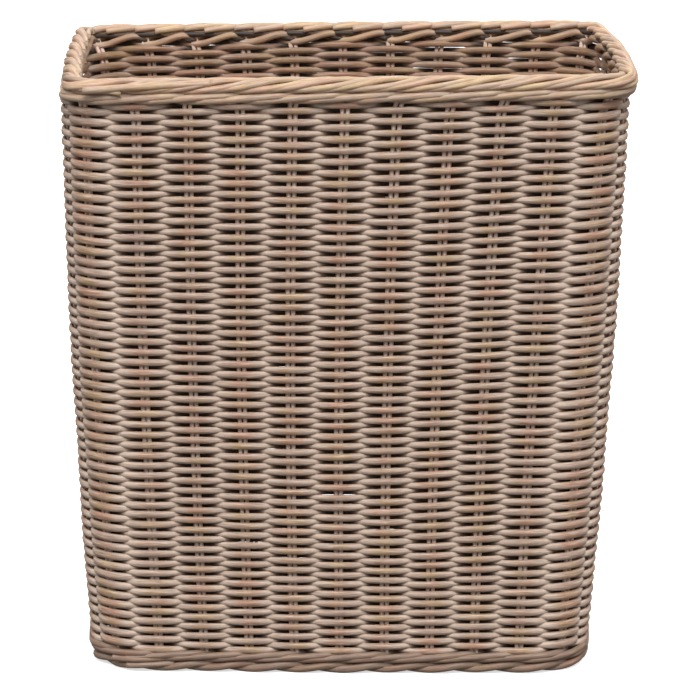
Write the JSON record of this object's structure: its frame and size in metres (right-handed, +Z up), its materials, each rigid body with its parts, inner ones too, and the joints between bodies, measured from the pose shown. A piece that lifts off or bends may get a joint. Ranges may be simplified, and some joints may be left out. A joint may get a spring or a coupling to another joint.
{
  "type": "wastebasket",
  "caption": "Open rectangular wastebasket woven from round rattan core, flared towards the top, with rounded corners and rolled borders.",
  "frame": {"origin": "on the ground, under the middle of the basket", "axes": "+Z up, +X to the right along the wide front, +Y to the back"},
  "size_m": [0.3298, 0.2288, 0.357],
  "materials": {
    "rattan_weave": "matte",
    "rattan_border": "matte",
    "rattan_stakes": "matte",
    "rattan_base": "matte"
  },
  "bodies": {
    "root": {"base_stick_1": "rattan_base", "base_stick_2": "rattan_base", "base_stick_3": "rattan_base", "base_stick_4": "rattan_base", "base_stick_5": "rattan_base", "base_stick_6": "rattan_base", "base_stick_7": "rattan_base", "base_weave": "rattan_base", "foot_border": "rattan_border", "siding_weave": "rattan_weave", "stakes_back_1": "rattan_stakes", "stakes_back_2": "rattan_stakes", "stakes_back_3": "rattan_stakes", "stakes_back_4": "rattan_stakes", "stakes_back_5": "rattan_stakes", "stakes_back_6": "rattan_stakes", "stakes_back_7": "rattan_stakes", "stakes_back_8": "rattan_stakes", "stakes_back_9": "rattan_stakes", "stakes_corner_back_left": "rattan_stakes", "stakes_corner_back_right": "rattan_stakes", "stakes_corner_front_left": "rattan_stakes", "stakes_corner_front_right": "rattan_stakes", "stakes_front_1": "rattan_stakes", "stakes_front_2": "rattan_stakes", "stakes_front_3": "rattan_stakes", "stakes_front_4": "rattan_stakes", "stakes_front_5": "rattan_stakes", "stakes_front_6": "rattan_stakes", "stakes_front_7": "rattan_stakes", "stakes_front_8": "rattan_stakes", "stakes_front_9": "rattan_stakes", "stakes_left_1": "rattan_stakes", "stakes_left_2": "rattan_stakes", "stakes_left_3": "rattan_stakes", "stakes_left_4": "rattan_stakes", "stakes_left_5": "rattan_stakes", "stakes_left_6": "rattan_stakes", "stakes_right_1": "rattan_stakes", "stakes_right_2": "rattan_stakes", "stakes_right_3": "rattan_stakes", "stakes_right_4": "rattan_stakes", "stakes_right_5": "rattan_stakes", "stakes_right_6": "rattan_stakes", "top_border": "rattan_border", "top_wale": "rattan_border", "upsett_wale": "rattan_border"}
  },
  "joints": []
}
